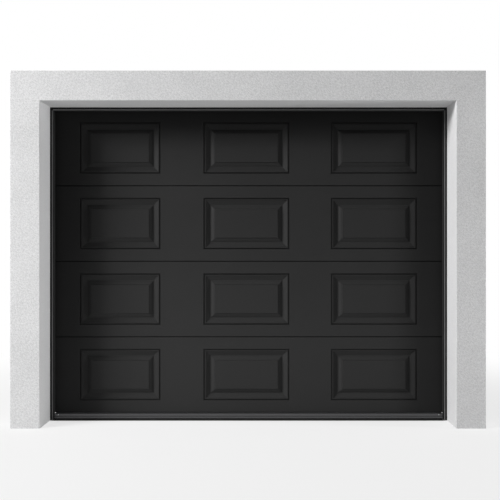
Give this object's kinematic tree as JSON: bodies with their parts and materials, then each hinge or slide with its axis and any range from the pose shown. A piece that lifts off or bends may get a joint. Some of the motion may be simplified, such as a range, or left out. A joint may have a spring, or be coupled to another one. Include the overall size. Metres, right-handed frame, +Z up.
{
  "type": "sectional garage door",
  "caption": "Black sectional garage door with raised cassettes in a pale rendered surround, with steel frame, rollers, curved tracks and torsion springs behind.",
  "frame": {"origin": "floor level under the middle of the leaf's bottom seal, halfway through the leaf's thickness", "axes": "+X to the right as seen from outside, +Y into the garage, +Z up"},
  "size_m": [3.197, 2.721, 2.403],
  "materials": {
    "rendered_masonry": "fine scraped render",
    "frame_paint": "satin",
    "door_paint": "satin, fine grain",
    "dark_aluminium": "dark anodised",
    "rubber_seal": "matt",
    "galvanised_steel": "hot-dip spangle",
    "bright_steel": "zinc plated",
    "nylon": "matt",
    "spring_steel": "oiled",
    "cast_aluminium": "as cast"
  },
  "bodies": {
    "root": {"pier_left": "rendered_masonry", "pier_right": "rendered_masonry", "lintel": "rendered_masonry", "frame_side_left": "frame_paint", "frame_side_right": "frame_paint", "frame_head": "frame_paint", "bottom_section": "door_paint", "lower_section": "door_paint", "upper_section": "door_paint", "top_section": "door_paint", "bottom_rail": "dark_aluminium", "side_seals": "rubber_seal", "head_seal": "rubber_seal", "bottom_seal": "rubber_seal", "end_caps_left": "galvanised_steel", "end_caps_right": "galvanised_steel", "centre_stiles": "galvanised_steel", "hinge_lower_leaves": "galvanised_steel", "hinge_upper_leaves": "galvanised_steel", "roller_brackets": "galvanised_steel", "top_brackets": "galvanised_steel", "bottom_brackets": "galvanised_steel", "vertical_track_left": "galvanised_steel", "vertical_track_right": "galvanised_steel", "horizontal_track_left": "galvanised_steel", "horizontal_track_right": "galvanised_steel", "track_brackets": "galvanised_steel", "support_angles": "galvanised_steel", "rear_crossbar": "galvanised_steel", "rear_hangers": "galvanised_steel", "centre_bracket": "galvanised_steel", "end_plates": "galvanised_steel", "hinge_pins": "bright_steel", "roller_stems": "bright_steel", "torsion_shaft": "bright_steel", "lift_cables": "bright_steel", "roller_wheels": "nylon", "torsion_springs": "spring_steel", "cable_drums": "cast_aluminium", "anchor_cones": "cast_aluminium", "winding_cones": "cast_aluminium"}
  },
  "joints": []
}
